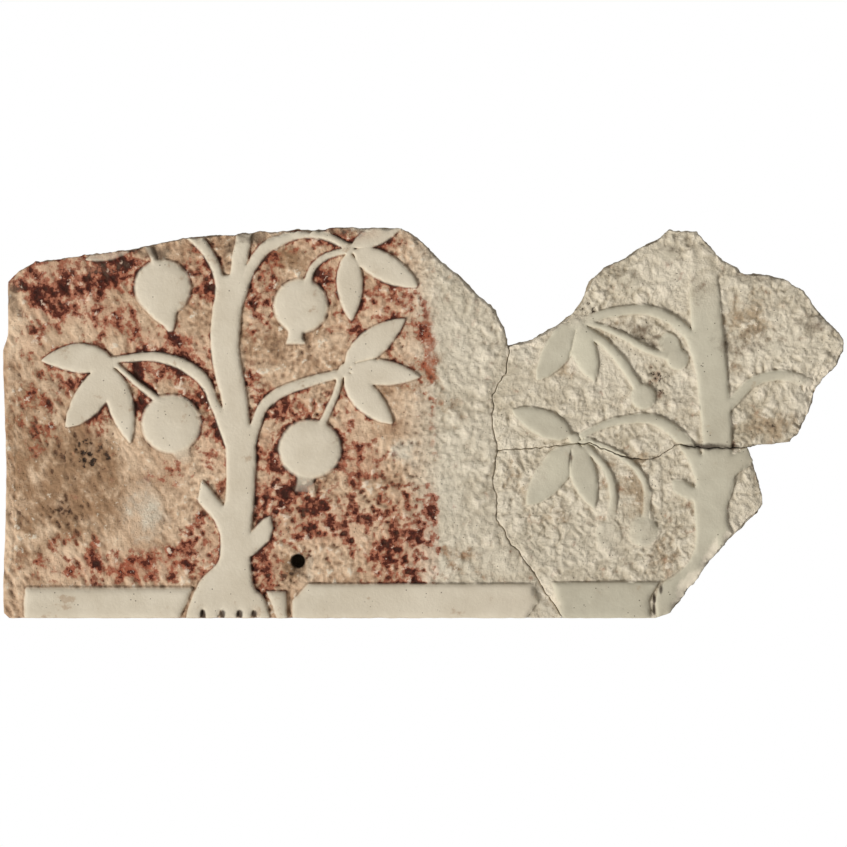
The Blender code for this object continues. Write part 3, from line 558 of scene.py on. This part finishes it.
def shaped(points):
    """Where the points of a piece go, and what its material needs to know about each."""
    flat = points[:, [0, 2]].copy()
    spots = points * np.array([1, 0, 1])
    height = np.clip((GROUND - points[:, 1]) / RELIEF, 0, 1)
    front = points[:, 1] < FRONT_DEPTH
    back = points[:, 1] > -EDGE_MARGIN
    in_hole = np.linalg.norm(flat - CLAMP_HOLE, axis=1) < HOLE_REACH
    worn = spotted(flat, WORN)
    wall = (height > WALL_HEIGHTS[0]) & (height < WALL_HEIGHTS[1]) & (worn < WORN_AWAY)
    from_rim = nearest(flat, flat[~front & ~back & ~in_hole])
    from_wall = nearest(flat, flat[wall])
    broken = brokenness(flat)

    marks = ground_marks(spots, flat)
    on_figure = smooth_step(height, *FIGURE_HEIGHTS) * (1 - worn)
    ground = ground_swell(spots, from_wall) + marks
    rise = ground + (figure_relief(spots, flat) - ground) * on_figure
    rise -= worn * height * RELIEF * WEAR_DEPTH
    chipped = spotted(flat, CHIPPED)
    crumble = np.clip(1 - from_rim / (CRUMBLE_REACH + CHIP_REACH * chipped), 0, 1)
    crumble **= CRUMBLE_STEEPNESS
    crumble *= CRUMBLE_MIDDLE + CRUMBLE_GRAIN * rough(spots, CRUMBLE_GRAIN_SPAN, seed=57)
    crumble = np.maximum(crumble, 0) * broken
    rise -= crumble * (CRUMBLE_DROP + CHIP_DROP * chipped)
    rise[in_hole & (points[:, 1] > HOLE_FLOOR)] = 0
    rise += FILLING * spotted(flat, FILLED) * np.maximum(points[:, 1] - GROUND, 0) * ~in_hole

    near_rim = smooth_step(CRUMBLE_REACH - from_rim, 0, CRUMBLE_REACH) * broken
    for axis, seed in SWING_SEEDS:
        swing = BREAK_SWING * wander(points, BREAK_SPAN, seed)
        swing += BREAK_GRAIN * wander(points, BREAK_GRAIN_SPAN, seed + 4)
        by_hand = HAND_SWING * wander(spots, HAND_SPAN, seed + 9) * ~in_hole
        points[:, axis] += swing * near_rim + by_hand
    points[:, 0] += saw_bow(flat)
    points[front, 1] -= rise[front]
    points[back, 1] -= np.abs(BACK_SWING * rough(points[back], BACK_SPAN, seed=15))
    points = np.clip(points, np.array(CAD_LOW), np.array(CAD_HIGH))

    ragged = BRUSH_RAGGED * rough(spots, BRUSH_RAGGED_SPAN, seed=2)
    brushed = smooth_step(PAINT_END - flat[:, 0] + ragged, *BRUSH_FADE)
    keep = {
        "height": on_figure,
        "hollow": np.clip(0.5 - marks / HOLLOW_SPAN, 0, HOLLOW_LIMIT) * front,
        "edge": np.exp(-from_wall / WALL_REACH),
        "rim": crumble,
        "paint": spotted(flat, PAINT_SPOTS) * (1 - spotted(flat, BARE_SPOTS)) * brushed * front,
        "rust": spotted(flat, RUST_SPOTS) * brushed * front,
        "tan": spotted(flat, TAN_SPOTS),
        "pale": spotted(flat, PALE_SPOTS),
        "grime": spotted(flat, GRIME_SPOTS),
        # Painted shade in the clamp hole, its channel and the trunk's notches, and dark cracks
        # elsewhere.
        "dark": spotted(flat, DARK_SPOTS) * ~back,
        "pitted": spotted(flat, DEEP_PITS),
        "brushed": smooth_step(PAINT_END - flat[:, 0], *TONE_FADE),
        "face": front.astype(float),
    }
    return points, keep


print("each point of a piece keeps what its material needs")

# %% Dressing a piece
SHARP_ANGLE = math.radians(60)


def placed(name, data):
    """A new object in the scene."""
    made = bpy.data.objects.new(name, data)
    bpy.context.scene.collection.objects.link(made)
    return made


def dress(node_name):
    """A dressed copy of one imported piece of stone."""
    shape = fine_copy(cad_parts[node_name])
    mesh = bpy.data.meshes.new(node_name + "_stone")
    shape.to_mesh(mesh)
    shape.free()
    points, keep = shaped(points_of(mesh))
    mesh.vertices.foreach_set("co", points.ravel())
    for name, values in keep.items():
        attribute = mesh.attributes.new(name, "FLOAT", "POINT")
        attribute.data.foreach_set("value", values.astype(np.float32))
    if "custom_normal" in mesh.attributes:
        mesh.attributes.remove(mesh.attributes["custom_normal"])
    mesh.shade_smooth()
    mesh.set_sharp_from_angle(angle=SHARP_ANGLE)
    piece = placed(node_name + "_dressed", mesh)
    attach(piece, "root")
    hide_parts(node_name)
    print(node_name, len(mesh.polygons), "triangles")
    return piece


left = dress("left_fragment")
upper_right = dress("upper_right_fragment")
lower_right = dress("lower_right_fragment")

# %% [markdown]
# ## Sums on shader sockets
# A material here is a chain of sums and blends. Written as nodes by hand it would fill pages,
# so a small class wraps a socket: adding or multiplying two of them makes the Math node, and
# one method makes every other kind of node.

# %% Sockets as numbers
class Value:
    """The output of a node, for use in sums."""

    def __init__(self, finish, socket):
        self.finish = finish
        self.socket = socket

    def sum_with(self, operation, first, second):
        return self.finish.node("ShaderNodeMath", {"operation": operation}, {0: first, 1: second})

    def __add__(self, other):
        return self.sum_with("ADD", self, other)

    def __sub__(self, other):
        return self.sum_with("SUBTRACT", self, other)

    def __rsub__(self, other):
        return self.sum_with("SUBTRACT", other, self)

    def __mul__(self, other):
        return self.sum_with("MULTIPLY", self, other)

    def slope(self, low, high):
        """0 below low, 1 above high and a soft slope between."""
        inputs = {"Value": self, "From Min": low, "From Max": high}
        return self.finish.node("ShaderNodeMapRange", {"interpolation_type": "SMOOTHSTEP"}, inputs)


class Finish:
    """A material in the making."""

    def __init__(self, name):
        self.material = bpy.data.materials.new(name)
        self.material.use_nodes = True
        self.tree = self.material.node_tree
        self.shader = self.tree.nodes["Principled BSDF"]
        self.coordinates = self.node("ShaderNodeTexCoord", {}, {}, "Object")

    def node(self, kind, settings, inputs, output=0):
        """Any node: its settings first, then what its sockets hold or are linked to."""
        made = self.tree.nodes.new(kind)
        for name, value in settings.items():
            setattr(made, name, value)
        for name, value in inputs.items():
            if isinstance(value, Value):
                self.tree.links.new(value.socket, made.inputs[name])
            else:
                made.inputs[name].default_value = value
        return Value(self, made.outputs[output])

    def kept(self, name):
        """A value that the piece keeps at each point."""
        return self.node("ShaderNodeAttribute", {"attribute_name": name}, {}, "Fac")

    def noise(self, size, detail, rough=0.55, seed=0.0):
        """Noise from 0 to 1 with grains of about the given size in metres."""
        shift = {"Vector": self.coordinates, "Location": (seed,) * 3}
        place_on = self.node("ShaderNodeMapping", {}, shift)
        inputs = {"Vector": place_on, "Scale": 1 / size, "Detail": detail, "Roughness": rough}
        return self.node("ShaderNodeTexNoise", {"noise_dimensions": "3D"}, inputs, "Fac")

    def swing(self, size, detail, rough=0.55, seed=0.0):
        """The same noise about 0, from about -1 to 1."""
        return self.noise(size, detail, rough, seed) * 4.0 - 2.0

    def blend(self, amount, first, second):
        """A colour between two others."""
        settings = {"data_type": "RGBA", "clamp_factor": True}
        return self.node("ShaderNodeMix", settings, {0: amount, 6: first, 7: second}, 2)

    def out(self, name, value):
        """Feed one socket of the shader."""
        if isinstance(value, Value):
            self.tree.links.new(value.socket, self.shader.inputs[name])
        else:
            self.shader.inputs[name].default_value = value


def colour(red, green, blue):
    """A colour as a screen shows it, in the even scale that the shader wants."""
    return (*[((part / 255 + 0.055) / 1.055) ** 2.4 for part in (red, green, blue)], 1.0)


print("sockets ready")

# %% [markdown]
# ## Marble with the remains of red paint
# The stone itself is cream, with tan staining where soil lay on it, and its colour is darker in
# the hollows as painted shade. Paint stays longest where brushes and rain don't reach: in the
# pits and along the foot of each figure. So the red is strong where a point lies deep, and fine
# noise decides where it has flaked off. Each line below lays one more thing over the stone:
# stains, paint in three strengths, bright crystals with a painted highlight on the lumps, dirt
# with painted shade in the clefts, painted shade at the foot of the figures, the rubbed figures
# with a painted highlight along their edges, crumbled rims, grime, and dark dots, some of them
# painted shade in holes. The numbers in a sum say how much each value counts, and a slope says
# where the thing sets in.

# %% The marble
DOTS_PER_METRE = 210.0
GRAIN_DEPTH = 0.0022


def marble(name, tones):
    """Weathered marble in the given tones, painted wherever a piece keeps paint."""
    finish = Finish(name)
    height, hollow, edge, paint, tan, pale = map(
        finish.kept, ("height", "hollow", "edge", "paint", "tan", "pale")
    )
    grime, face, dark, brushed, rust, rim, pitted = map(
        finish.kept, ("grime", "face", "dark", "brushed", "rust", "rim", "pitted")
    )
    broad = finish.swing(45 * MM, 4)
    ragged = finish.swing(17 * MM, 7, 0.60, seed=3.1)
    flaky = finish.swing(9.5 * MM, 7, 0.62, seed=7.7)
    speckled = finish.swing(3.4 * MM, 6, 0.75, seed=1.3)
    deep = hollow - 0.5
    low = 1 - height

    # The stone's random tone, made darker in the hollows by deep: that darkening is painted shade.
    tone = broad * 0.4 + ragged * 0.35 + deep * 0.7
    bare = finish.blend(tone.slope(-0.5, 0.9), tones["bare"], tones["bare_dark"])
    ground = finish.blend(tone.slope(-0.5, 0.6), tones["ground"], tones["ground_dark"])
    stone = finish.blend(brushed, bare, ground)
    soil = (tan + ragged * 0.5 + flaky * 0.35).slope(0.2, 0.85)
    stone = finish.blend(soil * 0.9, stone, tones["tan"])
    stone = finish.blend((pale + ragged * 0.35 + flaky * 0.2).slope(0.2, 0.9), stone, tones["pale"])

    bed = (paint * 1.1 + ragged * 0.3).slope(0.1, 1.0)
    stone = finish.blend(bed * 0.38, stone, tones["wash"])
    rusty = (rust + flaky * 0.5 + ragged * 0.35).slope(0.2, 0.85)
    stone = finish.blend(rusty * 0.75, stone, tones["rust"])
    foot = edge * paint.slope(0.05, 0.4)
    layer = paint * 0.42 + deep * 0.5 + flaky * 0.52 + ragged * 0.5 + foot * 0.35 - 0.53
    kept = paint.slope(0.02, 0.3)
    stone = finish.blend((layer + 0.21).slope(-0.12, 0.1) * kept * 0.8, stone, tones["red"])
    stone = finish.blend(layer.slope(-0.05, 0.06) * kept * 0.95, stone, tones["dark_red"])
    stone = finish.blend((layer - 0.20).slope(-0.05, 0.08) * kept * 0.8, stone, tones["core"])

    # Lighter on the raised ridges of the ground: pale crystals broken up by noise, and a painted
    # highlight on the high tops.
    lump = speckled * 0.35 + flaky * 0.25 - deep * 0.9 - 0.16 - brushed * 0.08
    sparkle = finish.blend(paint, tones["crystal"], tones["pink"])
    stone = finish.blend(lump.slope(-0.05, 0.12) * 0.8, stone, sparkle)
    # Darker in the clefts of the ground: partly dirt, partly painted shade.
    cleft = deep + speckled * 0.3 + flaky * 0.3 + tan * brushed * 0.22 - 0.54
    cleft = cleft.slope(-0.05, 0.09)
    stone = finish.blend(cleft * (brushed * 0.5 + 0.3), stone, tones["pit"])
    # Painted shade at the foot of each figure and in the hollows of the ground.
    shade = ((edge - 0.45).slope(0.0, 0.5) * 0.4 + deep.slope(0.0, 0.5) * 0.3) * low
    stone = finish.blend(shade * (brushed * 0.6 + 0.4), stone, tones["pit"])

    holes = (pitted * 0.42 + speckled * 0.45 + flaky * 0.3 + deep * 0.5 - 0.66).slope(-0.03, 0.05)
    stone = finish.blend(holes * pitted.slope(0.1, 0.4), stone, tones["speck"])

    uneven = (broad * 0.5 + ragged * 0.3).slope(-0.5, 0.5)
    rubbed = finish.blend(uneven, tones["figure"], tones["figure_dark"])
    lit_edge = (edge * 1.2 + ragged * 0.3 - 0.4).slope(0.1, 0.9)
    rubbed = finish.blend(lit_edge * 0.6, rubbed, tones["rim"])
    rubbed = finish.blend(pale.slope(0.2, 0.8) * 0.8, rubbed, tones["rim"])
    stained = (ragged * 0.5 + flaky * 0.5 + broad * 0.3 - 0.36).slope(0.0, 0.3)
    rubbed = finish.blend(stained * 0.45, rubbed, tones["tan"])
    stone = finish.blend(height, stone, rubbed)

    chalk = (rim * (pale * 1.4 + 0.25) + speckled * 0.15).slope(0.1, 0.45)
    stone = finish.blend(chalk * 0.85, stone, tones["crystal"])
    # Grime from the spots; just below the clamp hole this is painted shade in its channel.
    soot = (grime + ragged * 0.4 + flaky * 0.25 + deep * 0.3 - 0.35).slope(0.0, 0.6)
    stone = finish.blend(soot * 0.75, stone, tones["grime"])
    net = {"Vector": finish.coordinates, "Scale": DOTS_PER_METRE}
    grain_dots = finish.node("ShaderNodeTexVoronoi", {"feature": "F1"}, net, "Distance")
    rare = finish.swing(14 * MM, 2, seed=9.2).slope(0.15, 0.4)
    stone = finish.blend((1 - grain_dots.slope(0.09, 0.15)) * rare * 0.75, stone, tones["speck"])
    rough_side = finish.blend(broad.slope(-0.5, 0.5), tones["side"], tones["side_dark"])
    glint = (speckled + flaky * 0.5).slope(0.2, 0.6)
    rough_side = finish.blend(glint * 0.5, rough_side, tones["crystal"])
    stone = finish.blend(1 - face, stone, rough_side)
    # Dark spots: painted shade in the clamp hole, its channel and the trunk's notches, and dark
    # cracks elsewhere.
    stone = finish.blend((dark + flaky * 0.15).slope(0.2, 0.75) * 0.92, stone, tones["speck"])
    finish.out("Base Color", stone)
    finish.out("Roughness", 0.90 - height * 0.20)
    finish.out("Specular IOR Level", 0.35)

    fine = finish.noise(3 * MM, 5, 0.7, seed=5.5) * (1 - height * 0.8)
    grain = {"Height": fine, "Strength": 0.9, "Distance": GRAIN_DEPTH}
    finish.out("Normal", finish.node("ShaderNodeBump", {}, grain, "Normal"))
    return finish.material


PAINTED = {
    "ground": colour(229, 199, 166), "ground_dark": colour(176, 140, 108),
    "bare": colour(225, 213, 190), "bare_dark": colour(190, 176, 150),
    "figure": colour(215, 203, 181), "figure_dark": colour(203, 190, 167),
    "side": colour(192, 176, 148), "side_dark": colour(158, 140, 114),
    "tan": colour(156, 121, 88), "pale": colour(220, 209, 187), "rim": colour(221, 209, 184),
    "crystal": colour(230, 217, 194), "pink": colour(233, 203, 177),
    "wash": colour(186, 130, 98), "rust": colour(164, 84, 52), "red": colour(158, 80, 54),
    "dark_red": colour(84, 30, 14), "core": colour(48, 16, 6),
    "grime": colour(108, 92, 74), "pit": colour(88, 60, 42), "speck": colour(56, 42, 30),
}
WEATHERED = dict(
    PAINTED, tan=colour(172, 150, 121), rim=colour(207, 199, 175), pit=colour(104, 90, 70),
    figure=colour(195, 187, 165), figure_dark=colour(184, 175, 153),
)
painted_marble = marble("painted_marble", PAINTED)
weathered_marble = marble("weathered_marble", WEATHERED)
left.data.materials.append(painted_marble)
for piece in (upper_right, lower_right):
    piece.data.materials.append(weathered_marble)
print("marbles:", painted_marble.name, "and", weathered_marble.name)

# %% [markdown]
# ## Studio
# The photograph was taken straight from the front, with soft light that comes a little from
# below on the left, and cut out on white. A pale floor lies well below the tile, and the world
# is white where the camera looks past the tile, and dimmer as a light. A lamp behind the tile
# lights its back for the other views.

# %% Floor, light and camera
FLOOR_LEVEL = -2.2
FLOOR_REACH = 2.6
floor_shape = bmesh.new()
bmesh.ops.create_grid(floor_shape, x_segments=2, y_segments=2, size=FLOOR_REACH)
bmesh.ops.translate(floor_shape, verts=floor_shape.verts, vec=(0, 0, FLOOR_LEVEL))
floor_mesh = bpy.data.meshes.new("floor")
floor_shape.to_mesh(floor_mesh)
floor_shape.free()
floor = placed("floor", floor_mesh)
floor_finish = Finish("pale_floor")
floor_finish.out("Base Color", colour(235, 233, 229))
floor_finish.out("Roughness", 0.9)
floor.data.materials.append(floor_finish.material)

LAMP_SPOT = Vector((0.6, 2.0, 0.8))
LAMP_SIZE = 1.4
LAMP_POWER = 20
KEY_WAY = Vector((2.1, 2.1, 1.3))
KEY_STRENGTH = 3.1
KEY_SOFTNESS = 0.30


def shine(light, way):
    """Put a light into the scene, so that it shines along the given way."""
    holder = placed(light.name, light)
    holder.rotation_euler = way.to_track_quat("-Z", "Y").to_euler()
    return holder


lamp = bpy.data.lights.new("behind", "AREA")
lamp.shape = "SQUARE"
lamp.size = LAMP_SIZE
lamp.energy = LAMP_POWER
shine(lamp, -LAMP_SPOT).location = LAMP_SPOT
sun = bpy.data.lights.new("key", "SUN")
sun.energy = KEY_STRENGTH
sun.angle = KEY_SOFTNESS
shine(sun, KEY_WAY)

WHITE = 1.0
AMBIENT = 0.34
world = bpy.data.worlds.new("studio")
bpy.context.scene.world = world
world.use_nodes = True
sky = world.node_tree.nodes["Background"]
seen = world.node_tree.nodes.new("ShaderNodeLightPath").outputs["Is Camera Ray"]
strength = world.node_tree.nodes.new("ShaderNodeMapRange")
strength.inputs["To Min"].default_value = AMBIENT
strength.inputs["To Max"].default_value = WHITE
world.node_tree.links.new(seen, strength.inputs["Value"])
world.node_tree.links.new(strength.outputs["Result"], sky.inputs["Strength"])
sky.inputs["Color"].default_value = (1, 1, 1, 1)
bpy.context.scene.view_settings.view_transform = "Standard"

PHOTO_BREADTH = 0.75356
LENS = 120.0
SENSOR = 36.0
SIGHT_END = 20
camera_data = bpy.data.cameras.new("camera")
camera_data.lens = LENS
camera_data.sensor_width = SENSOR
camera_data.clip_end = SIGHT_END
camera = placed("camera", camera_data)
camera.location = (0, FRONT - PHOTO_BREADTH * LENS / SENSOR, 0)
camera.rotation_euler = (math.pi / 2, 0, 0)
bpy.context.scene.camera = camera
print("camera", camera.location[:])
